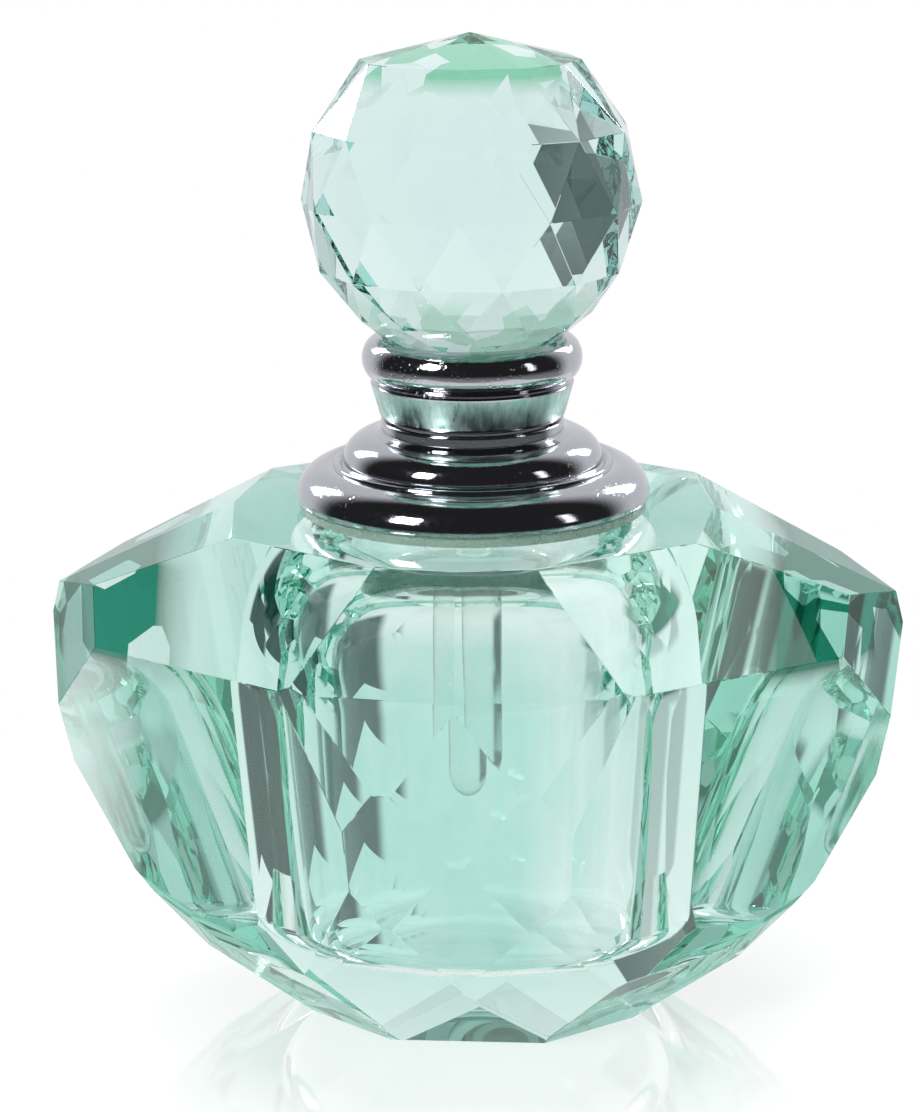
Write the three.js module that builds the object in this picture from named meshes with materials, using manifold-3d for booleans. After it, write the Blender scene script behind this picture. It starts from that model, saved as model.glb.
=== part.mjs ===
// Cut-crystal scent bottle with a ball stopper and a dauber rod.
// Millimetres, +Z up. The origin is the centre of the flat foot, and -Y is the front.
import * as THREE from "three";
import Module from "manifold-3d";
import { ConvexGeometry } from "three/addons/geometries/ConvexGeometry.js";
import { mergeVertices } from "three/addons/utils/BufferGeometryUtils.js";

// ---- Driving dimensions -------------------------------------------------------------

// Crystal body: a round flat table on top, a pointed-oval girdle, a small flat foot.
const TABLE_Z = 47.3;
const TABLE_R = 22.5;
const GIRDLE_Z = 36.5;
const BLANK_MARGIN = 20; // how far the uncut blank stands past the finished body

// Girdle sides of one quarter, by azimuth from the front and distance from the axis.
// Each carries a crown facet that leans in to topDistance at the table's height and,
// where underLean is given, a facet below that leans in by that many degrees.
const GIRDLE_SIDES = [
  { azimuth: 8.9, distance: 24.6, topDistance: TABLE_R },
  { azimuth: 33.6, distance: 26.8, topDistance: 21.8, underLean: 13.4 },
  { azimuth: 60, distance: 33.6, topDistance: 31.3 },
];
const SHOULDER_AZIMUTH = 82.7; // the long sloping facets from the table to the two ends
const SHOULDER_LEAN = 64.7;
const SHOULDER_REACH = 21.6; // where they start on the table

// Diamond lattice on the front and back: facets tangent to an ellipsoid, every other
// one of a grid of columns and rows.
const LATTICE = { pitchX: 6.2, pitchZ: 6.6, topZ: 34.6, rows: 6, columns: 2 };
const LATTICE_FORM = new THREE.Vector3(40, 40, 49.5); // semi-axes
const LATTICE_FRONT = 24.4; // how far forward the ellipsoid reaches

// Bevels round the two ends: one band on the rim and one on each side of it.
const RIM_FORM = new THREE.Vector3(38.1, 24.9, 38.8);
const RIM_DROPS = [10, 28, 44, 57]; // degrees below the girdle
const RIM_OFFSETS = [0, 25]; // degrees in front of and behind the rim

// Well: straight sides, a rounded floor corner, and a domed shoulder up to a narrow neck.
const WELL_R = 16.5;
const WELL_FLOOR_Z = 9;
const WELL_CORNER_R = 2;
const DOME_FOOT_Z = 33;
const DOME_TOP_Z = 44.5;
const NECK_R = 8;
const WELL_SIDES = 64;

// Collar stack, from the table up.
const BOND_THICKNESS = 0.7;
const SEAM = 0.05; // gap kept between pieces that are stuck or pressed together
const COLLAR_Z = TABLE_Z + BOND_THICKNESS + 2 * SEAM;
const COLLAR_R = 15.85;
const COLLAR_STEP_R = 11.6;
const COLLAR_LIP_R = 8.2;
const COLLAR_BORE_R = 6.4;
const COLLAR_LIP_Z = 55.3;
const LINER_BORE_R = 4.9;
const LINER_FLANGE_R = 7.1;
const LINER_FOOT_Z = 45.5;

// Stopper, from its skirt up to the ball.
const SKIRT_Z = 55.6;
const SKIRT_FOOT_R = 8.25;
const SKIRT_TOP_R = 9.1;
const BEAD_R = 9.8;
const CUP_WEB_Z = 57.4;
const CUP_LIP_Z = 62.75;
const PLUG_R = 4.0;
const PLUG_FOOT_Z = 50;
const PLUG_TOP_Z = 60;
const ROD_R = 2.6;
const ROD_TIP_Z = 22.3;
const ROD_TOP_Z = 57;
const BALL_R = 15;
const BALL_CENTRE_Z = 75.4;
const BALL_SIDES = 12;
const BALL_APEX = 13.8; // how far the point on top stands above the centre
const BALL_LATITUDES = [-60, -45, -26, -3, 22, 50]; // the first ring bounds the flat foot
const BALL_FOOT_Z = BALL_CENTRE_Z + BALL_R * Math.sin((BALL_LATITUDES[0] * Math.PI) / 180);
const BALL_BOND_THICKNESS = 0.3;
const BALL_SEAT_Z = BALL_FOOT_Z - BALL_BOND_THICKNESS - 2 * SEAM;

// ---- Materials ----------------------------------------------------------------------

const crystalFinish = new THREE.MeshStandardMaterial({ color: 0xbfe8df, roughness: 0.02, metalness: 0 });
const chromeFinish = new THREE.MeshStandardMaterial({ color: 0xc9ccd2, roughness: 0.08, metalness: 1 });
const bondFinish = new THREE.MeshStandardMaterial({ color: 0xa9c4b4, roughness: 0.45, metalness: 0 });
const linerFinish = new THREE.MeshStandardMaterial({ color: 0xe8ece8, roughness: 0.4, metalness: 0 });
const sealFinish = new THREE.MeshStandardMaterial({ color: 0xd8dcd6, roughness: 0.6, metalness: 0 });
const rodFinish = new THREE.MeshStandardMaterial({ color: 0xcfe3da, roughness: 0.5, metalness: 0 });

// ---- Solids -------------------------------------------------------------------------

const wasm = await Module();
wasm.setup();

function toSolid(geometry) {
  const bare = geometry.clone();
  bare.deleteAttribute("normal");
  bare.deleteAttribute("uv");
  const merged = mergeVertices(bare, 1e-5);
  return new wasm.Manifold(
    new wasm.Mesh({
      numProp: 3,
      vertProperties: new Float32Array(merged.attributes.position.array),
      triVerts: new Uint32Array(merged.index.array),
    }),
  );
}

function toGeometry(solid) {
  const mesh = solid.getMesh();
  const geometry = new THREE.BufferGeometry();
  geometry.setAttribute("position", new THREE.BufferAttribute(new Float32Array(mesh.vertProperties), 3));
  geometry.setIndex(new THREE.BufferAttribute(new Uint32Array(mesh.triVerts), 1));
  return geometry;
}

// Unit vector at an azimuth from the front (-Y) towards +X, raised by an elevation.
function direction(azimuth, elevation) {
  const turn = THREE.MathUtils.degToRad(azimuth);
  const rise = THREE.MathUtils.degToRad(elevation);
  return new THREE.Vector3(
    Math.cos(rise) * Math.sin(turn),
    -Math.cos(rise) * Math.cos(turn),
    Math.sin(rise),
  );
}

// A cutting plane: everything further along normal than point is ground away.
function cut(normal, point) {
  return { normal, distance: normal.dot(point) };
}

// The same cut in all four quarters, or fewer where it is its own mirror image.
function mirrored({ normal, distance }) {
  const sidesX = Math.abs(normal.x) < 1e-9 ? [1] : [1, -1];
  const sidesY = Math.abs(normal.y) < 1e-9 ? [1] : [1, -1];
  return sidesX.flatMap((x) =>
    sidesY.map((y) => ({
      normal: new THREE.Vector3(normal.x * x, normal.y * y, normal.z),
      distance,
    })),
  );
}

// Tangent plane of an ellipsoid centred at centre, touching it where the unit-sphere
// point reach lands.
function tangentCut(form, centre, reach) {
  const point = reach.clone().multiply(form).add(centre);
  const normal = reach.clone().divide(form).normalize();
  return cut(normal, point);
}

function grind(solid, { normal, distance }) {
  const size = 200;
  const wheel = new THREE.BoxGeometry(size, size, size);
  wheel.translate(0, 0, size / 2 + distance);
  wheel.applyQuaternion(new THREE.Quaternion().setFromUnitVectors(new THREE.Vector3(0, 0, 1), normal));
  return solid.subtract(toSolid(wheel));
}

function lathe(profile, sides) {
  const points = profile.map(([radius, height]) => new THREE.Vector2(radius, height));
  const geometry = new THREE.LatheGeometry(points, sides);
  geometry.rotateX(Math.PI / 2);
  return geometry;
}

// Points on a circle arc in the (radius, height) half-plane, angles in degrees.
function arc(centreR, centreZ, radiusR, radiusZ, from, to, steps) {
  return Array.from({ length: steps + 1 }, (_, i) => {
    const angle = THREE.MathUtils.degToRad(from + ((to - from) * i) / steps);
    return [centreR + radiusR * Math.cos(angle), centreZ + radiusZ * Math.sin(angle)];
  });
}

const group = new THREE.Group();

function addPiece(name, geometry, material) {
  const mesh = new THREE.Mesh(geometry, material);
  mesh.name = name;
  group.add(mesh);
}

// ---- Crystal body -------------------------------------------------------------------

function crownAndGirdleCuts() {
  const cuts = [];
  for (const side of GIRDLE_SIDES) {
    const onGirdle = direction(side.azimuth, 0).multiplyScalar(side.distance);
    onGirdle.z = GIRDLE_Z;
    const lean = Math.atan2(side.distance - side.topDistance, TABLE_Z - GIRDLE_Z);
    cuts.push(cut(direction(side.azimuth, THREE.MathUtils.radToDeg(lean)), onGirdle));
    if (side.underLean) {
      cuts.push(cut(direction(side.azimuth, -side.underLean), onGirdle));
    }
  }
  const shoulderStart = new THREE.Vector3(SHOULDER_REACH, 0, TABLE_Z);
  cuts.push(cut(direction(SHOULDER_AZIMUTH, SHOULDER_LEAN), shoulderStart));
  return cuts;
}

function latticeCuts() {
  const cuts = [];
  const centre = new THREE.Vector3(0, LATTICE_FORM.y - LATTICE_FRONT, GIRDLE_Z);
  for (let row = 0; row < LATTICE.rows; row += 1) {
    for (let column = 0; column <= LATTICE.columns; column += 1) {
      const inLattice = (row + column) % 2 === 1;
      if (!inLattice || column + row > LATTICE.rows) continue;
      const x = (column * LATTICE.pitchX) / LATTICE_FORM.x;
      const z = (LATTICE.topZ - row * LATTICE.pitchZ - GIRDLE_Z) / LATTICE_FORM.z;
      const reach = new THREE.Vector3(x, -Math.sqrt(1 - x * x - z * z), z);
      cuts.push(tangentCut(LATTICE_FORM, centre, reach));
    }
  }
  return cuts;
}

function rimCuts() {
  const centre = new THREE.Vector3(0, 0, GIRDLE_Z);
  return RIM_OFFSETS.flatMap((offset) =>
    RIM_DROPS.map((drop) => {
      const across = THREE.MathUtils.degToRad(offset);
      const down = THREE.MathUtils.degToRad(drop);
      const reach = new THREE.Vector3(
        Math.cos(across) * Math.cos(down),
        -Math.sin(across),
        -Math.cos(across) * Math.sin(down),
      );
      return tangentCut(RIM_FORM, centre, reach);
    }),
  );
}

function makeCrystalBody() {
  const blankX = 2 * (RIM_FORM.x + BLANK_MARGIN);
  const blankY = 2 * (RIM_FORM.y + BLANK_MARGIN);
  const blank = new THREE.BoxGeometry(blankX, blankY, TABLE_Z);
  blank.translate(0, 0, TABLE_Z / 2);
  let body = toSolid(blank);
  for (const facet of [...crownAndGirdleCuts(), ...latticeCuts(), ...rimCuts()].flatMap(mirrored)) {
    body = grind(body, facet);
  }
  const cornerR = WELL_R - WELL_CORNER_R;
  const domeR = WELL_R - NECK_R;
  const wellTop = TABLE_Z + BLANK_MARGIN;
  const profile = [
    [0, WELL_FLOOR_Z],
    ...arc(cornerR, WELL_FLOOR_Z + WELL_CORNER_R, WELL_CORNER_R, WELL_CORNER_R, -90, 0, 4),
    ...arc(NECK_R, DOME_FOOT_Z, domeR, DOME_TOP_Z - DOME_FOOT_Z, 0, 90, 12),
    [NECK_R, wellTop],
    [0, wellTop],
  ];
  const well = lathe(profile, WELL_SIDES);
  return toGeometry(body.subtract(toSolid(well)));
}

// ---- Collar, glued on the table -----------------------------------------------------

function makeCollarBond() {
  const foot = TABLE_Z + SEAM;
  const top = foot + BOND_THICKNESS;
  const inner = NECK_R + 1;
  const outer = COLLAR_R - 0.3;
  return lathe([[inner, foot], [outer, foot], [outer, top], [inner, top], [inner, foot]], 64);
}

// Three turned steps: a wide half-round foot, a narrower torus and a plain lip.
function makeCollar() {
  const footTopZ = COLLAR_Z + 3.2;
  const stepTopZ = footTopZ + 2.9;
  return lathe(
    [
      [COLLAR_BORE_R, COLLAR_Z],
      [COLLAR_R - 0.25, COLLAR_Z],
      ...arc(COLLAR_R - 3.1, COLLAR_Z + 0.45, 3.1, 2.75, 0, 84, 8),
      [COLLAR_STEP_R, footTopZ],
      ...arc(COLLAR_STEP_R - 2.9, footTopZ + 0.4, 2.9, 2.4, 0, 80, 7),
      [COLLAR_LIP_R, stepTopZ],
      [COLLAR_LIP_R, COLLAR_LIP_Z - 0.25],
      [COLLAR_LIP_R - 0.25, COLLAR_LIP_Z],
      [COLLAR_BORE_R, COLLAR_LIP_Z],
      [COLLAR_BORE_R, COLLAR_Z],
    ],
    64,
  );
}

// Plastic sleeve pressed down the collar's bore, with a thin flange over its lip.
function makeNeckLiner() {
  const wallR = COLLAR_BORE_R - SEAM;
  const flangeZ = COLLAR_LIP_Z + SEAM;
  return lathe(
    [
      [LINER_BORE_R, LINER_FOOT_Z],
      [wallR - 0.3, LINER_FOOT_Z],
      [wallR, LINER_FOOT_Z + 0.6],
      [wallR, flangeZ],
      [LINER_FLANGE_R, flangeZ],
      [LINER_FLANGE_R, flangeZ + 0.6],
      [LINER_BORE_R + 0.4, flangeZ + 0.6],
      [LINER_BORE_R, flangeZ + 0.2],
      [LINER_BORE_R, LINER_FOOT_Z],
    ],
    48,
  );
}

// ---- Stopper ------------------------------------------------------------------------

function makeStopperCup() {
  const groove = { z: 58.75, depth: 0.25, height: 0.25 };
  const beadZ = 60.8;
  const socketR = PLUG_R + SEAM;
  const cavityR = LINER_FLANGE_R + 0.3;
  return lathe(
    [
      [cavityR, SKIRT_Z],
      [SKIRT_FOOT_R, SKIRT_Z],
      [SKIRT_TOP_R, groove.z],
      [SKIRT_TOP_R - groove.depth, groove.z],
      [SKIRT_TOP_R - groove.depth, groove.z + groove.height],
      ...arc(BEAD_R - 1.5, beadZ, 1.5, 1.9, -62, 88, 9),
      [8.15, CUP_LIP_Z],
      [7.95, BALL_SEAT_Z],
      [0, BALL_SEAT_Z],
      [0, PLUG_TOP_Z + SEAM],
      [socketR, PLUG_TOP_Z + SEAM],
      [socketR, CUP_WEB_Z],
      [cavityR, CUP_WEB_Z],
      [cavityR, SKIRT_Z],
    ],
    64,
  );
}

function makeSealWasher() {
  const foot = COLLAR_LIP_Z + SEAM + 0.6 + 0.2;
  const top = CUP_WEB_Z - SEAM;
  const outer = LINER_FLANGE_R;
  const inner = PLUG_R + SEAM;
  return lathe([[inner, foot], [outer, foot], [outer, top], [inner, top], [inner, foot]], 48);
}

// Plastic plug: its stem is held in the cup, its narrower waist carries the seal.
function makePlug() {
  const boreR = ROD_R + SEAM;
  const waistR = PLUG_R - 0.5;
  const waistFoot = PLUG_FOOT_Z + 0.8;
  const waistTop = PLUG_FOOT_Z + 4.2;
  return lathe(
    [
      [boreR, PLUG_FOOT_Z],
      [PLUG_R - 0.3, PLUG_FOOT_Z],
      [PLUG_R, PLUG_FOOT_Z + 0.3],
      [PLUG_R, waistFoot],
      [waistR, waistFoot],
      [waistR, waistTop],
      [PLUG_R, waistTop],
      [PLUG_R, PLUG_TOP_Z],
      [0, PLUG_TOP_Z],
      [0, ROD_TOP_Z + SEAM],
      [boreR, ROD_TOP_Z + SEAM],
      [boreR, PLUG_FOOT_Z],
    ],
    48,
  );
}

// Soft ribbed sleeve round the plug's waist, which grips the liner.
function makePlugSeal() {
  const inner = PLUG_R - 0.5 + SEAM;
  const foot = PLUG_FOOT_Z + 0.8 + SEAM;
  const top = PLUG_FOOT_Z + 4.2 - SEAM;
  const ribs = 3;
  const ribPitch = (top - foot) / ribs;
  const valleyR = LINER_BORE_R - 0.35;
  const crestR = LINER_BORE_R - SEAM;
  const outline = [[inner, foot]];
  for (let rib = 0; rib < ribs; rib += 1) {
    const start = foot + rib * ribPitch;
    outline.push([valleyR, start]);
    outline.push([crestR, start + ribPitch * 0.35]);
    outline.push([crestR, start + ribPitch * 0.65]);
  }
  outline.push([valleyR, top]);
  outline.push([inner, top]);
  outline.push([inner, foot]);
  return lathe(outline, 48);
}

function makeDauberRod() {
  const shoulderZ = ROD_TIP_Z + ROD_R;
  return lathe([...arc(0, shoulderZ, ROD_R, ROD_R, -90, 0, 7), [ROD_R, ROD_TOP_Z], [0, ROD_TOP_Z]], 24);
}

function makeBallBond() {
  const radius = 7;
  const foot = BALL_SEAT_Z + SEAM;
  const top = foot + BALL_BOND_THICKNESS;
  return lathe([[0, foot], [radius, foot], [radius, top], [0, top]], 36);
}

// Faceted ball: rings of corners, each turned half a step against the ring below.
function makeBall() {
  const corners = [new THREE.Vector3(0, 0, BALL_CENTRE_Z + BALL_APEX)];
  BALL_LATITUDES.forEach((latitude, ring) => {
    for (let side = 0; side < BALL_SIDES; side += 1) {
      const azimuth = ((side + ((ring + 1) % 2) / 2) * 360) / BALL_SIDES;
      const corner = direction(azimuth, latitude).multiplyScalar(BALL_R);
      corner.z += BALL_CENTRE_Z;
      corners.push(corner);
    }
  });
  return new ConvexGeometry(corners);
}

addPiece("crystal_body", makeCrystalBody(), crystalFinish);
addPiece("collar_bond", makeCollarBond(), bondFinish);
addPiece("collar", makeCollar(), chromeFinish);
addPiece("neck_liner", makeNeckLiner(), linerFinish);
addPiece("stopper_cup", makeStopperCup(), chromeFinish);
addPiece("seal_washer", makeSealWasher(), sealFinish);
addPiece("plug", makePlug(), linerFinish);
addPiece("plug_seal", makePlugSeal(), sealFinish);
addPiece("dauber_rod", makeDauberRod(), rodFinish);
addPiece("ball_bond", makeBallBond(), bondFinish);
addPiece("crystal_ball", makeBall(), crystalFinish);

export default group;
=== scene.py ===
"""Looks for a cut-crystal scent bottle with a chrome collar, a ball stopper and a dauber rod.

Metres, +Z up, -Y the front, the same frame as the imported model. The profiles of turned
pieces are in millimetres.
"""

import math

import bmesh
import bpy
from mathutils import Matrix, Vector


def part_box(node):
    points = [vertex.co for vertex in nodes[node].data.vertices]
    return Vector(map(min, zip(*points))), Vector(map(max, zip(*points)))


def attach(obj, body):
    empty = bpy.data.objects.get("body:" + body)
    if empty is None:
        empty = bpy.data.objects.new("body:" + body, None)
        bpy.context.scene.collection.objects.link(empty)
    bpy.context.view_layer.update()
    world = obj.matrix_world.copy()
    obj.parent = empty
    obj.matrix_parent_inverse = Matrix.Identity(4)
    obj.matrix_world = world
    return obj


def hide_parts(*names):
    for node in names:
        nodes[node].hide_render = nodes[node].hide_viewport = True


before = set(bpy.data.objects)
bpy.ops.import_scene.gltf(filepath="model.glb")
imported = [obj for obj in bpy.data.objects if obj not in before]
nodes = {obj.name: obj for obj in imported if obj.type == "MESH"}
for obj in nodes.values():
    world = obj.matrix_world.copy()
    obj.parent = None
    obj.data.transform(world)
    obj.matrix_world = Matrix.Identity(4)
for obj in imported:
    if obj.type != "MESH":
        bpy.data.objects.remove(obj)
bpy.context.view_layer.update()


# ---- Sizes and colours ---------------------------------------------------------------

MM = 0.001
TINY = 1e-6

TURNED_STEPS = 192  # sides of a turned piece
ROD_STEPS = 96
SMOOTH_ANGLE = math.radians(35)  # a turned piece is smooth across edges flatter than this

SAME_POINT = 0.002 * MM  # a node's vertices nearer than this are one corner
FLAT_ANGLE = math.radians(0.6)  # a facet's triangles differ by less than this
SHORT_EDGE = 0.03 * MM  # facet edges shorter than this are closed up
BODY_EDGE = 0.09 * MM  # width of the easing between facets
BALL_EDGE = 0.07 * MM

# the well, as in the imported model
WELL_FLOOR = 9.0 * MM
WELL_R = 16.5 * MM
WELL_CORNER = 2.0 * MM
DOME_FOOT = 33.0 * MM
DOME_TOP = 44.5 * MM
NECK_R = 8.0 * MM

# the satin skirt at the foot of the stopper's cup, whose mint colour is a painted reflection of the
# green crystal
SKIRT_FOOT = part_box("stopper_cup")[0].z
SKIRT_TOP = SKIRT_FOOT + 3.05 * MM

CRYSTAL_IOR = 1.52
BODY_DEPTH = ((0.70, 0.90, 0.85), 46.0)  # absorption colour and density
BALL_DEPTH = ((0.717, 0.90, 0.88), 44.0)

# painted shade: deeper emerald patches at the two ends of the girdle, in place of the dark
# reflections inside the crystal there
END_PAINTED_SHADE = (0.002, 0.09, 0.05)
END_TINT_START = 23.0 * MM  # from the middle of the bottle
END_TINT_FULL = 27.0 * MM
END_TINT_LOW = 34.5 * MM
END_TINT_HIGH = 46.0 * MM
END_PATCHES = (210.0, 0.22, 0.26)  # cells per metre, and the cell values where patches start

# painted reflection: a dark teal wall in the well, where the wall mirrors the dark surroundings
WALL_PAINTED_SHADE = (0.46, 0.78, 0.72)
WALL_TINT_TOP = 33.0 * MM
WALL_TINT_FADE = 6.0 * MM
WALL_TINT_SIDE = (5.0 * MM, 13.0 * MM)  # it thins to the right between these

# painted shade: deeper green patches at the ball's crown and foot, in place of darker reflections in
# its facets
BALL_PAINTED_SHADE = (0.15, 0.55, 0.30)
BALL_TINT_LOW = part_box("crystal_ball")[1].z - 4.5 * MM
BALL_FOOT_TINT_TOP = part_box("crystal_ball")[0].z + 6.0 * MM
BALL_PATCHES = (300.0, 0.40, 0.43)


# ---- Scene settings ------------------------------------------------------------------

scene = bpy.context.scene
scene.view_settings.view_transform = "Standard"
scene.view_settings.look = "None"
scene.cycles.max_bounces = 32
scene.cycles.transmission_bounces = 32
scene.cycles.glossy_bounces = 16
scene.cycles.transparent_max_bounces = 16
scene.cycles.caustics_refractive = True
scene.cycles.caustics_reflective = True
scene.cycles.blur_glossy = 0.3


# ---- Mesh helpers --------------------------------------------------------------------

def heights(node):
    """A node's foot and top, in mm."""
    low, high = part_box(node)
    return low.z / MM, high.z / MM


def radius_of(node):
    """A round node's radius, in mm."""
    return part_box(node)[1].x / MM


def add_object(name, mesh, material):
    piece = bpy.data.objects.new(name, mesh)
    scene.collection.objects.link(piece)
    mesh.materials.clear()
    mesh.materials.append(material)
    return piece


def mesh_from(name, bm, smooth_angle=None):
    """A mesh from a bmesh, smooth across edges flatter than smooth_angle."""
    bmesh.ops.recalc_face_normals(bm, faces=bm.faces)
    mesh = bpy.data.meshes.new(name)
    if smooth_angle is not None:
        for face in bm.faces:
            face.smooth = True
        for edge in bm.edges:
            edge.smooth = edge.calc_face_angle(0) < smooth_angle
    bm.to_mesh(mesh)
    bm.free()
    return mesh


def turned(name, profile, steps=TURNED_STEPS):
    """A turned solid from (radius, height) points in mm.

    Points on the axis become one vertex. A profile that starts and ends off the axis is
    closed from its last point to its first.
    """
    bm = bmesh.new()
    rings = []
    for radius, height in profile:
        if radius < TINY:
            rings.append([bm.verts.new((0, 0, height * MM))])
            continue
        ring = []
        for i in range(steps):
            turn = 2 * math.pi * i / steps
            x, y = radius * MM * math.cos(turn), radius * MM * math.sin(turn)
            ring.append(bm.verts.new((x, y, height * MM)))
        rings.append(ring)
    count = len(rings)
    closed = len(rings[0]) > 1 and len(rings[-1]) > 1
    for low in range(count if closed else count - 1):
        a, b = rings[low], rings[(low + 1) % count]
        for i in range(steps):
            j = (i + 1) % steps
            corners = []
            for v in (a[i % len(a)], a[j % len(a)], b[j % len(b)], b[i % len(b)]):
                if v not in corners:
                    corners.append(v)
            if len(corners) > 2:
                bm.faces.new(corners)
    return mesh_from(name, bm, SMOOTH_ANGLE)


def arc(centre_r, centre_z, radius_r, radius_z, start, end, steps):
    """Points along part of an ellipse, from start to end in degrees."""
    points = []
    for i in range(steps + 1):
        angle = math.radians(start + (end - start) * i / steps)
        points.append((centre_r + radius_r * math.cos(angle), centre_z + radius_z * math.sin(angle)))
    return points


def faceted(name, node, edge_width):
    """A node's convex form with each facet one face and its edges very slightly eased."""
    bm = bmesh.new()
    for v in nodes[node].data.vertices:
        bm.verts.new(v.co)
    bmesh.ops.remove_doubles(bm, verts=bm.verts, dist=SAME_POINT)
    hull = bmesh.ops.convex_hull(bm, input=bm.verts)
    inside = set(hull["geom_interior"] + hull["geom_unused"])
    spare = [item for item in inside if isinstance(item, bmesh.types.BMVert)]
    bmesh.ops.delete(bm, geom=spare, context="VERTS")
    bmesh.ops.dissolve_limit(bm, angle_limit=FLAT_ANGLE, verts=bm.verts, edges=bm.edges)
    bmesh.ops.remove_doubles(bm, verts=bm.verts, dist=SHORT_EDGE)
    bmesh.ops.bevel(
        bm,
        geom=list(bm.edges),
        offset=edge_width,
        offset_type="WIDTH",
        segments=1,
        affect="EDGES",
        profile=0.5,
        clamp_overlap=True,
    )
    return mesh_from(name, bm)


def cut_away(piece, cutter):
    """Takes cutter's solid out of piece, and removes the cutter."""
    boolean = piece.modifiers.new("cut", "BOOLEAN")
    boolean.operation = "DIFFERENCE"
    boolean.solver = "EXACT"
    boolean.object = cutter
    depsgraph = bpy.context.evaluated_depsgraph_get()
    finished = bpy.data.meshes.new_from_object(piece.evaluated_get(depsgraph))
    piece.modifiers.clear()
    piece.data = finished
    bpy.data.objects.remove(cutter)


# ---- Material helpers ----------------------------------------------------------------

class Nodes:
    """Short calls for building the nodes of one material, or of the world."""

    def __init__(self, owner, output="ShaderNodeOutputMaterial", coords="Object"):
        owner.use_nodes = True
        self.owner = owner
        self.tree = owner.node_tree
        self.tree.nodes.clear()
        self.output = self.add(output)
        self.coords = self.add("ShaderNodeTexCoord").outputs[coords]

    def add(self, kind, inputs=None, **settings):
        node = self.tree.nodes.new(kind)
        for key, value in settings.items():
            setattr(node, key, value)
        for key, value in (inputs or {}).items():
            self.set(node.inputs[key], value)
        return node

    def set(self, socket, value):
        if isinstance(value, bpy.types.NodeSocket):
            self.tree.links.new(value, socket)
        else:
            socket.default_value = value

    def noise(self, scale, detail=3.0, roughness=0.5, vector=None):
        """Noise of about scale features per metre."""
        inputs = {
            "Vector": vector or self.coords,
            "Scale": scale,
            "Detail": detail,
            "Roughness": roughness,
        }
        return self.add("ShaderNodeTexNoise", inputs).outputs["Fac"]

    def cells(self, scale):
        """Voronoi cells, scale to the metre. Their outputs are Distance and Color."""
        return self.add("ShaderNodeTexVoronoi", {"Vector": self.coords, "Scale": scale}).outputs

    def stretched(self, x, y, z):
        """The coordinates times a factor along each axis."""
        inputs = {"Vector": self.coords, "Scale": (x, y, z)}
        return self.add("ShaderNodeMapping", inputs).outputs["Vector"]

    def axes(self):
        """The coordinates apart, as X, Y and Z."""
        return self.add("ShaderNodeSeparateXYZ", {0: self.coords}).outputs

    def length(self, vector):
        node = self.add("ShaderNodeVectorMath", {0: vector}, operation="LENGTH")
        return node.outputs["Value"]

    def ramp(self, factor, stops):
        node = self.add("ShaderNodeValToRGB", {"Fac": factor})
        elements = node.color_ramp.elements
        for element, (position, colour) in zip(elements, stops):
            element.position = position
            element.color = (*colour, 1)
        return node.outputs["Color"]

    def scale(self, value, low, high, start=0.0, end=1.0, **settings):
        """low where value is start, high where it is end."""
        inputs = {"Value": value, "From Min": start, "From Max": end, "To Min": low, "To Max": high}
        return self.add("ShaderNodeMapRange", inputs, **settings).outputs["Result"]

    def bump(self, height, strength, distance):
        inputs = {"Height": height, "Strength": strength, "Distance": distance}
        return self.add("ShaderNodeBump", inputs).outputs["Normal"]

    def maths(self, operation, a, b=0.0):
        return self.add("ShaderNodeMath", {0: a, 1: b}, operation=operation).outputs[0]

    def product(self, values):
        result = values[0]
        for value in values[1:]:
            result = self.maths("MULTIPLY", result, value)
        return result

    def blend(self, factor, a, b):
        """The number a where factor is 0, and b where it is 1."""
        inputs = {"Factor": factor, 2: a, 3: b}
        return self.add("ShaderNodeMix", inputs, data_type="FLOAT").outputs[0]

    def tint(self, factor, a, b):
        """The colour a where factor is 0, and b where it is 1."""
        inputs = {"Factor": factor}
        for socket, colour in ((6, a), (7, b)):
            inputs[socket] = (*colour, 1) if isinstance(colour, tuple) else colour
        return self.add("ShaderNodeMix", inputs, data_type="RGBA").outputs[2]

    def surface(self, **inputs):
        inputs = {name.replace("_", " "): value for name, value in inputs.items()}
        shader = self.add("ShaderNodeBsdfPrincipled", inputs)
        self.set(self.output.inputs["Surface"], shader.outputs["BSDF"])

    def absorption(self, colour, density):
        node = self.add("ShaderNodeVolumeAbsorption", {"Color": (*colour, 1), "Density": density})
        self.set(self.output.inputs["Volume"], node.outputs["Volume"])


# ---- Materials -----------------------------------------------------------------------

def crystal_material(name, depth, tint):
    """Polished lead glass: clear tint in the depth, faint polishing haze on the surface, and painted
    shade patches from tint in the surface colour.
    """
    n = Nodes(bpy.data.materials.new(name))
    haze = n.noise(70, detail=5, roughness=0.6)
    waviness = n.noise(60, detail=1, roughness=0.4)
    clear = n.ramp(n.noise(60, detail=2), [(0.3, (0.985, 1.0, 0.995)), (0.7, (1.0, 1.0, 1.0))])
    n.surface(
        Base_Color=tint(n, clear),
        Roughness=n.scale(haze, 0.0, 0.012, start=0.55, end=0.85),
        IOR=CRYSTAL_IOR,
        Transmission_Weight=1.0,
        Normal=n.bump(waviness, strength=0.05, distance=0.0002),
    )
    n.absorption(*depth)
    return n.owner


def cell_patches(n, scale, low, high):
    """Angular patches, 1 inside and 0 outside, like facets caught at different angles; they mask the
    painted shade.
    """
    value = n.add("ShaderNodeSeparateColor", {0: n.cells(scale)["Color"]}).outputs[0]
    return n.scale(value, 0.0, 1.0, low, high)


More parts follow.
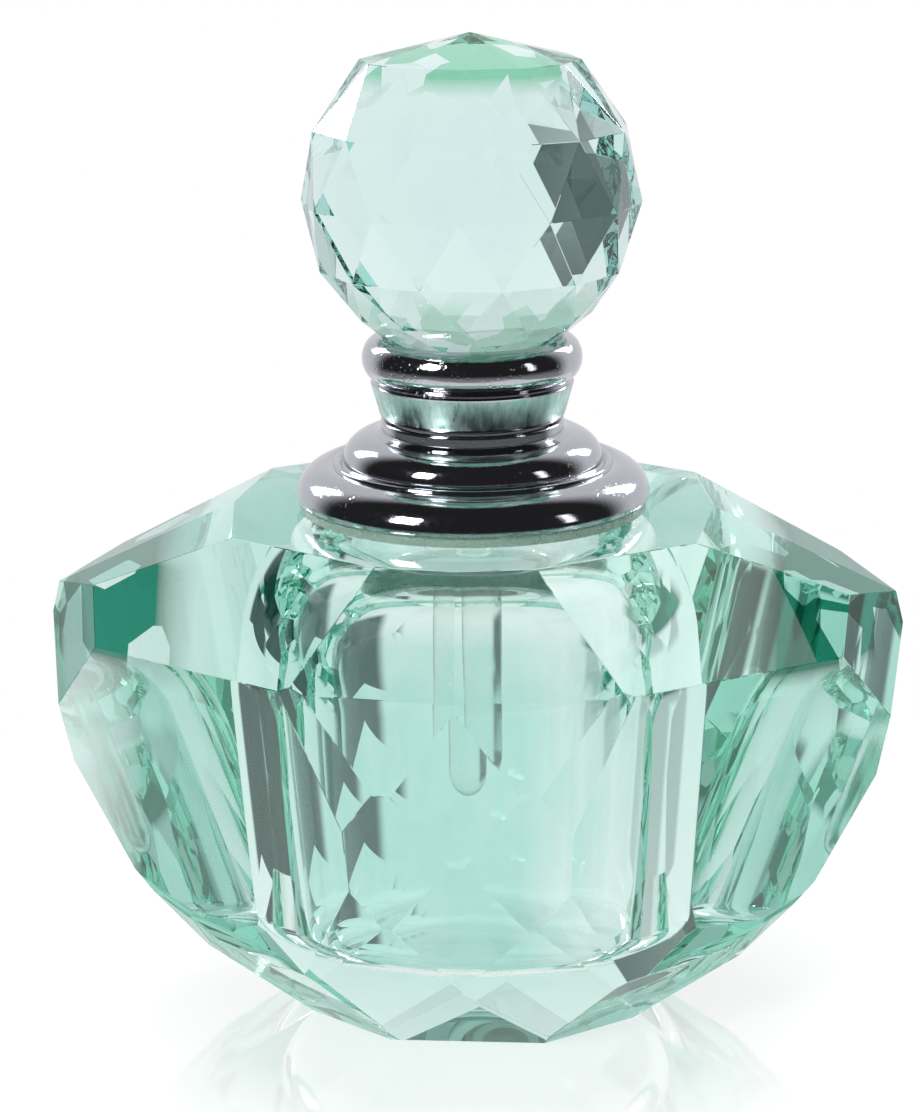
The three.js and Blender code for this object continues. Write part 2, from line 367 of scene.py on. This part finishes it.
def body_painted_shade(n, clear):
    """Painted shade: deeper emerald patches at the two ends of the girdle, and a painted dark teal
    reflection on the wall of the well.
    """
    x, _, z = n.axes()
    # painted shade: the mask of the deeper emerald at the girdle's ends
    ends = n.product([
        n.scale(n.maths("ABSOLUTE", x), 0.0, 1.0, END_TINT_START, END_TINT_FULL),
        n.scale(z, 0.0, 1.0, END_TINT_LOW, END_TINT_LOW + 1.5 * MM),
        n.scale(z, 1.0, 0.0, END_TINT_HIGH - 2 * MM, END_TINT_HIGH),
        cell_patches(n, *END_PATCHES),
    ])
    emerald = n.tint(ends, clear, END_PAINTED_SHADE)
    radius = n.length(n.stretched(1, 1, 0))
    # painted reflection: the mask of the dark teal on the well's wall
    wall = n.product([
        n.scale(radius, 1.0, 0.0, WELL_R + 0.1 * MM, WELL_R + 0.2 * MM),
        n.scale(z, 1.0, 0.0, WALL_TINT_TOP, WALL_TINT_TOP + WALL_TINT_FADE),
        n.scale(z, 0.0, 1.0, WELL_FLOOR - 0.2 * MM, WELL_FLOOR - 0.1 * MM),
        n.scale(x, 1.0, 0.3, *WALL_TINT_SIDE),
        n.scale(n.noise(90), 0.75, 1.0, 0.35, 0.6),
    ])
    return n.tint(wall, emerald, WALL_PAINTED_SHADE)


def ball_painted_shade(n, clear):
    """Painted shade: deeper green in angular patches round the ball's crown and its foot."""
    z = n.axes()["Z"]
    # painted shade: the masks of the deeper green at the ball's crown and foot
    crown = n.scale(z, 0.0, 1.0, BALL_TINT_LOW, BALL_TINT_LOW + 1.5 * MM)
    foot = n.scale(z, 0.6, 0.0, BALL_FOOT_TINT_TOP - 2 * MM, BALL_FOOT_TINT_TOP)
    patches = n.product([n.maths("ADD", crown, foot), cell_patches(n, *BALL_PATCHES)])
    return n.tint(patches, clear, BALL_PAINTED_SHADE)


def chrome_material(name):
    """Cheap bright chrome: near-mirror, with pits and dull specks, and a brushed satin skirt with a
    painted reflection of the green crystal in its colour.
    """
    n = Nodes(bpy.data.materials.new(name))
    height = n.axes()["Z"]
    skirt = n.product([
        n.scale(height, 0.0, 1.0, SKIRT_FOOT + 0.1 * MM, SKIRT_FOOT + 0.3 * MM),
        n.scale(height, 1.0, 0.0, SKIRT_TOP - 0.2 * MM, SKIRT_TOP),
    ])
    # the bright part
    patchy = n.scale(n.noise(160, detail=4, roughness=0.6), 0.0, 1.0, 0.5, 0.72)
    pit = n.scale(n.cells(2600.0)["Distance"], 1.0, 0.0, 0.08, 0.34)
    speck = n.product([pit, patchy])
    fine = n.noise(2400, detail=5, roughness=0.65)
    polished = n.maths("ADD", n.scale(fine, 0.035, 0.13, 0.35, 0.75), n.scale(speck, 0.0, 0.3))
    bright = n.ramp(speck, [(0.0, (0.50, 0.51, 0.545)), (1.0, (0.72, 0.72, 0.74))])
    relief = n.maths("ADD", n.scale(speck, 0.0, -1.0), n.scale(fine, 0.0, 0.25))
    # the skirt: brushed streaks, and a painted reflection of the green crystal as its mint colour
    streaks = n.noise(1.0, detail=5, roughness=0.7, vector=n.stretched(1500, 1500, 60))
    satin = n.scale(streaks, 0.22, 0.5, 0.3, 0.7)
    painted_crystal_reflection = n.ramp(streaks, [(0.35, (0.34, 0.52, 0.49)), (0.65, (0.72, 0.86, 0.82))])
    brushed = n.scale(streaks, 0.0, 1.5)
    n.surface(
        Base_Color=n.tint(skirt, bright, painted_crystal_reflection),
        Metallic=1.0,
        Roughness=n.blend(skirt, polished, satin),
        Normal=n.bump(n.blend(skirt, relief, brushed), strength=0.35, distance=0.00008),
    )
    return n.owner


def plain_material(name, low, high, roughness, scale):
    """Moulded plastic or soft rubber with a fine mottled grain."""
    n = Nodes(bpy.data.materials.new(name))
    grain = n.noise(scale, detail=5, roughness=0.6)
    n.surface(
        Base_Color=n.ramp(grain, [(0.3, low), (0.7, high)]),
        Roughness=n.scale(grain, roughness - 0.08, roughness + 0.08, 0.3, 0.7),
        Normal=n.bump(grain, strength=0.2, distance=0.00006),
    )
    return n.owner


def bond_material(name):
    """Clear adhesive with tiny bubbles."""
    n = Nodes(bpy.data.materials.new(name))
    bubble = n.scale(n.cells(1500.0)["Distance"], 1.0, 0.0, 0.05, 0.25)
    n.surface(
        Base_Color=n.ramp(bubble, [(0.0, (0.62, 0.80, 0.70)), (1.0, (0.86, 0.93, 0.89))]),
        Roughness=n.scale(n.noise(700, detail=4), 0.15, 0.4),
        IOR=1.49,
        Transmission_Weight=0.75,
        Normal=n.bump(bubble, strength=0.4, distance=0.0001),
    )
    return n.owner


def rod_material(name):
    """Ground glass: frosted skin with fine grinding marks round the rod."""
    n = Nodes(bpy.data.materials.new(name))
    marks = n.noise(1.0, detail=4, roughness=0.6, vector=n.stretched(300, 300, 9000))
    frost = n.noise(5200, detail=6, roughness=0.7)
    n.surface(
        Base_Color=n.ramp(frost, [(0.3, (0.90, 0.96, 0.93)), (0.7, (1.0, 1.0, 1.0))]),
        Roughness=n.scale(frost, 0.12, 0.3, 0.3, 0.7),
        IOR=1.3,
        Transmission_Weight=0.97,
        Normal=n.bump(n.maths("ADD", marks, frost), strength=0.15, distance=0.00006),
    )
    return n.owner


crystal = crystal_material("crystal_depth", BODY_DEPTH, body_painted_shade)
ball_crystal = crystal_material("crystal_ball_depth", BALL_DEPTH, ball_painted_shade)
chrome = chrome_material("collar_chrome")
bond = bond_material("clear_bond")
plastic = plain_material("liner_plastic", (0.74, 0.78, 0.75), (0.84, 0.87, 0.84), 0.38, 1800)
rubber = plain_material("seal_rubber", (0.62, 0.66, 0.63), (0.72, 0.75, 0.71), 0.6, 2400)
frosted = rod_material("frosted_rod")


# ---- Crystal -------------------------------------------------------------------------

crystal_body = add_object("cut_body", faceted("cut_body", "crystal_body", BODY_EDGE), crystal)
body_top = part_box("crystal_body")[1].z


def well_cutter():
    """The well: straight sides, a rounded floor corner, and a domed shoulder up to the neck."""
    floor, radius, corner, neck = WELL_FLOOR / MM, WELL_R / MM, WELL_CORNER / MM, NECK_R / MM
    dome_foot, dome_top = DOME_FOOT / MM, DOME_TOP / MM
    above = body_top / MM + 10  # well past the table
    profile = [
        (0, floor),
        *arc(radius - corner, floor + corner, corner, corner, -90, 0, 8),
        *arc(neck, dome_foot, radius - neck, dome_top - dome_foot, 0, 90, 32),
        (neck, above),
        (0, above),
    ]
    return add_object("well_cutter", turned("well_cutter", profile), crystal)


cut_away(crystal_body, well_cutter())
# the well is smooth, and the ground facets stay flat
for polygon in crystal_body.data.polygons:
    centre = polygon.center
    in_well = math.hypot(centre.x, centre.y) < WELL_R * 1.001 and centre.z > WELL_FLOOR + TINY
    polygon.use_smooth = in_well and centre.z < body_top - TINY
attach(crystal_body, "bottle")
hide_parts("crystal_body")

ball = add_object("cut_ball", faceted("cut_ball", "crystal_ball", BALL_EDGE), ball_crystal)
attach(ball, "stopper")
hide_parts("crystal_ball")


# ---- Metal ---------------------------------------------------------------------------

collar_foot, collar_lip = heights("collar")
collar_r = radius_of("collar")
foot_top = collar_foot + 3.2
step_top = foot_top + 2.9
step_r = 11.6
lip_r = 8.2
bore_r = 6.4
foot_curve = 3.1
step_curve = 2.9
lip_curve = 0.3
bead_r, bead_z = step_r + 0.62, foot_top - 0.02
collar_profile = [
    (bore_r, collar_foot),
    # the foot, with a thin bead on top
    (collar_r - 0.35, collar_foot),
    *arc(collar_r - foot_curve, collar_foot + 0.45, foot_curve, 2.75, -4, 82, 28),
    (step_r + 0.95, foot_top - 0.12),
    *arc(bead_r, bead_z, 0.26, 0.24, 0, 150, 8),
    (step_r + 0.22, foot_top - 0.08),
    # the middle step
    *arc(step_r - step_curve, foot_top + 0.4, step_curve, 2.4, -6, 80, 26),
    # the lip
    (lip_r + 0.22, step_top - 0.02),
    (lip_r, step_top + 0.14),
    (lip_r, collar_lip - lip_curve - 0.01),  # so that the wall shades as straight up to here
    *arc(lip_r - lip_curve, collar_lip - lip_curve, lip_curve, lip_curve, 0, 90, 6),
    (bore_r + 0.2, collar_lip),
    (bore_r, collar_lip - 0.2),
]
collar = add_object("chrome_collar", turned("chrome_collar", collar_profile), chrome)
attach(collar, "bottle")
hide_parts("collar")

cup_foot, cup_lip = heights("stopper_cup")
cup_r = radius_of("stopper_cup")
skirt_foot_r = 8.25
skirt_top_r = 9.1
groove_r = skirt_top_r - 0.25
groove_z = cup_foot + 3.15
bead_curve = 1.5
bead_z = cup_foot + 5.2
rim_r = 8.2
seat_r = 7.95
seat_z = heights("ball_bond")[0] - 0.05
cavity_r = 7.4
web_z = cup_foot + 1.8
plug_r = radius_of("plug") + 0.05
plug_top = heights("plug")[1] + 0.05
# it crosses the axis between the seat and the plug's top, and closes round the cavity below
cup_profile = [
    (cavity_r, cup_foot),
    # the skirt
    (skirt_foot_r - 0.15, cup_foot),
    (skirt_foot_r, cup_foot + 0.15),
    (skirt_top_r - 0.05, groove_z - 0.12),
    # the groove
    (skirt_top_r - 0.17, groove_z),
    (groove_r, groove_z + 0.05),
    (groove_r, groove_z + 0.2),
    # the bead
    *arc(cup_r - bead_curve, bead_z, bead_curve, 1.9, -62, 88, 30),
    # the rim and the ball's seat
    (rim_r, cup_lip),
    (rim_r - 0.18, cup_lip - 0.06),
    (seat_r, seat_z),
    (0, seat_z),
    # round the plug, and the cavity
    (0, plug_top),
    (plug_r, plug_top),
    (plug_r, web_z),
    (cavity_r, web_z),
]
cup = add_object("chrome_cup", turned("chrome_cup", cup_profile), chrome)
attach(cup, "stopper")
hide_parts("stopper_cup")


# ---- Rod -----------------------------------------------------------------------------

rod_tip, rod_top = heights("dauber_rod")
rod_r = radius_of("dauber_rod")
round_tip = arc(0, rod_tip + rod_r, rod_r, rod_r, -90, 0, 18)
rod_profile = [(0, rod_tip), *round_tip[1:], (rod_r, rod_top), (0, rod_top)]
rod = add_object("ground_rod", turned("ground_rod", rod_profile, ROD_STEPS), frosted)
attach(rod, "stopper")
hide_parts("dauber_rod")


# ---- Carried-over nodes --------------------------------------------------------------

for node, material in {
    "collar_bond": bond,
    "ball_bond": bond,
    "neck_liner": plastic,
    "plug": plastic,
    "plug_seal": rubber,
    "seal_washer": rubber,
}.items():
    nodes[node].data.materials.clear()
    nodes[node].data.materials.append(material)


# ---- Floor ---------------------------------------------------------------------------

FLOOR_SIZE = 0.22
FLOOR_GLOW = 0.8
POLISH_END = (0.024, 0.040)  # the polish fades out between these distances from the axis
FLOOR_END = (0.055, 0.095)  # and the floor into the white sweep between these


def floor_material():
    """White, with a faint polish just round the foot."""
    n = Nodes(bpy.data.materials.new("floor_polish"))
    grain = n.noise(40)
    white = n.ramp(grain, [(0.3, (0.95, 0.95, 0.95)), (0.7, (0.97, 0.97, 0.97))])
    grey = n.ramp(grain, [(0.3, (0.22, 0.22, 0.22)), (0.7, (0.24, 0.24, 0.24))])
    sheet = n.add("ShaderNodeBsdfDiffuse", {"Color": grey})
    glow = n.add("ShaderNodeEmission", {"Color": white, "Strength": FLOOR_GLOW})
    matt = n.add("ShaderNodeAddShader", {0: sheet.outputs[0], 1: glow.outputs[0]})
    gloss = n.add("ShaderNodeBsdfGlossy", {"Color": (1, 1, 1, 1), "Roughness": 0.06})
    sweep = n.add("ShaderNodeEmission", {"Color": (1, 1, 1, 1), "Strength": 1.0})
    away = n.length(n.coords)
    polish = n.scale(away, 0.35, 0.0, *POLISH_END)
    near = n.add("ShaderNodeMixShader", {0: polish, 1: matt.outputs[0], 2: gloss.outputs[0]})
    fade = n.scale(away, 0.0, 1.0, *FLOOR_END)
    whole = n.add("ShaderNodeMixShader", {0: fade, 1: near.outputs[0], 2: sweep.outputs[0]})
    n.set(n.output.inputs["Surface"], whole.outputs[0])
    return n.owner


sheet = bmesh.new()
bmesh.ops.create_grid(sheet, x_segments=1, y_segments=1, size=0.5)
bmesh.ops.scale(sheet, vec=(FLOOR_SIZE, FLOOR_SIZE, 1), verts=sheet.verts)
floor = add_object("floor", mesh_from("floor", sheet), floor_material())


# ---- Light ---------------------------------------------------------------------------

# what rays through the crystal see: the light left straight up, and the part of it missing
# in the openings at the left, right and front
TOP_LEVEL = 0.7
LEFT_DEPTH = 0.9
RIGHT_DEPTH = 0.4
FRONT_DEPTH = 0.3
OPENING_COLOUR = (0.0, 0.03, 0.025)

# what mirror rays see
MIRROR_DARK = (0.0, 0.0, 0.0)
MIRROR_BRIGHT = (0.96, 0.97, 1.0)
WHITE = (1.0, 1.0, 1.0)

LIGHT_AIM = Vector((0, 0, 0.055))


def studio_world():
    """A white sweep to the camera.

    The chrome and the crystal see it with darker openings, as in a light tent. They are
    fixed in direction, and each is the product of soft steps along the view's axes.
    """
    world = bpy.data.worlds.new("studio")
    scene.world = world
    n = Nodes(world, "ShaderNodeOutputWorld", "Generated")
    path = n.add("ShaderNodeLightPath").outputs
    x, y, z = n.axes()

    def step(value, start, end, low=0.0, high=1.0):
        return n.scale(value, low, high, start, end, interpolation_type="SMOOTHSTEP")

    def opening(masks, depth):
        """1 outside an opening, and 1 less depth inside it."""
        return n.maths("SUBTRACT", 1.0, n.maths("MULTIPLY", n.product(masks), depth))

    # both reach from below the horizon to above it
    level = n.product([step(z, -0.45, -0.3), step(z, 0.24, 0.12)])
    low = n.product([step(z, -0.26, -0.12), step(z, 0.42, 0.26)])
    through = n.product([
        step(z, 0.15, 0.8, 1.0, TOP_LEVEL),
        # left and a little behind
        opening([level, step(x, -0.35, -0.5), step(y, 0.1, 0.3)], LEFT_DEPTH),
        # right
        opening([low, step(x, 0.72, 0.82)], RIGHT_DEPTH),
        # in front, above the horizon
        opening([step(y, -0.62, -0.8), step(z, -0.1, 0.1)], FRONT_DEPTH),
    ])
    # mirror rays see it dark in front, bright behind, and grey below
    behind = step(y, 0.15, 0.6, 0.025, 0.85)
    below = step(z, -0.05, -0.4, 0.0, 0.35)
    mirrored = n.tint(n.maths("MAXIMUM", behind, below), MIRROR_DARK, MIRROR_BRIGHT)
    refracted = n.tint(through, OPENING_COLOUR, WHITE)
    seen = n.tint(path["Is Transmission Ray"], mirrored, refracted)
    plain = n.maths("MAXIMUM", path["Is Camera Ray"], path["Is Diffuse Ray"])
    inputs = {"Color": n.tint(plain, seen, WHITE), "Strength": 1.0}
    background = n.add("ShaderNodeBackground", inputs)
    n.set(n.output.inputs["Surface"], background.outputs[0])


def softbox(name, location, size, power):
    """A rectangular light aimed at the bottle's neck. power is in watts."""
    light = bpy.data.lights.new(name, "AREA")
    light.shape = "RECTANGLE"
    light.size, light.size_y = size
    light.energy = power
    lamp = bpy.data.objects.new(name, light)
    lamp.location = location
    lamp.rotation_mode = "QUATERNION"
    lamp.rotation_quaternion = (LIGHT_AIM - Vector(location)).to_track_quat("-Z", "Y")
    lamp.visible_camera = False
    lamp.visible_transmission = False
    scene.collection.objects.link(lamp)


studio_world()
softbox("left_softbox", (-0.55, -0.60, 0.48), size=(0.22, 0.34), power=6)
softbox("right_softbox", (0.75, -0.30, 0.30), size=(0.10, 0.42), power=0.3)
softbox("back_left_softbox", (-0.7, 0.6, 0.5), size=(0.2, 0.4), power=3)
softbox("back_right_softbox", (0.6, 0.7, 0.5), size=(0.2, 0.4), power=3)


# ---- Camera --------------------------------------------------------------------------

CAMERA_DISTANCE = 0.260
CAMERA_ELEVATION = math.radians(15.3)
CAMERA_AZIMUTH = math.radians(4.0)
CAMERA_ROLL = math.radians(-0.4)
CAMERA_TARGET = Vector((0, 0, 0.0424))
IMAGE_LONG_SIDE = 1112  # pixels
FOCAL_PIXELS = 2876
AXIS_OFFSET = 15.0  # how many pixels right of the picture's middle the object stands
SENSOR = 36.0  # mm

camera_data = bpy.data.cameras.new("camera")
camera_data.sensor_width = SENSOR
camera_data.lens = FOCAL_PIXELS / IMAGE_LONG_SIDE * SENSOR
camera_data.shift_x = -AXIS_OFFSET / IMAGE_LONG_SIDE
camera_data.clip_start = 0.01
camera_data.clip_end = 20
camera = bpy.data.objects.new("camera", camera_data)
back = Vector((
    math.cos(CAMERA_ELEVATION) * math.sin(CAMERA_AZIMUTH),
    -math.cos(CAMERA_ELEVATION) * math.cos(CAMERA_AZIMUTH),
    math.sin(CAMERA_ELEVATION),
))
camera.location = CAMERA_TARGET + back * CAMERA_DISTANCE
turn = (-back).to_track_quat("-Z", "Y").to_matrix() @ Matrix.Rotation(CAMERA_ROLL, 3, "Z")
camera.rotation_euler = turn.to_euler()
scene.collection.objects.link(camera)
scene.camera = camera
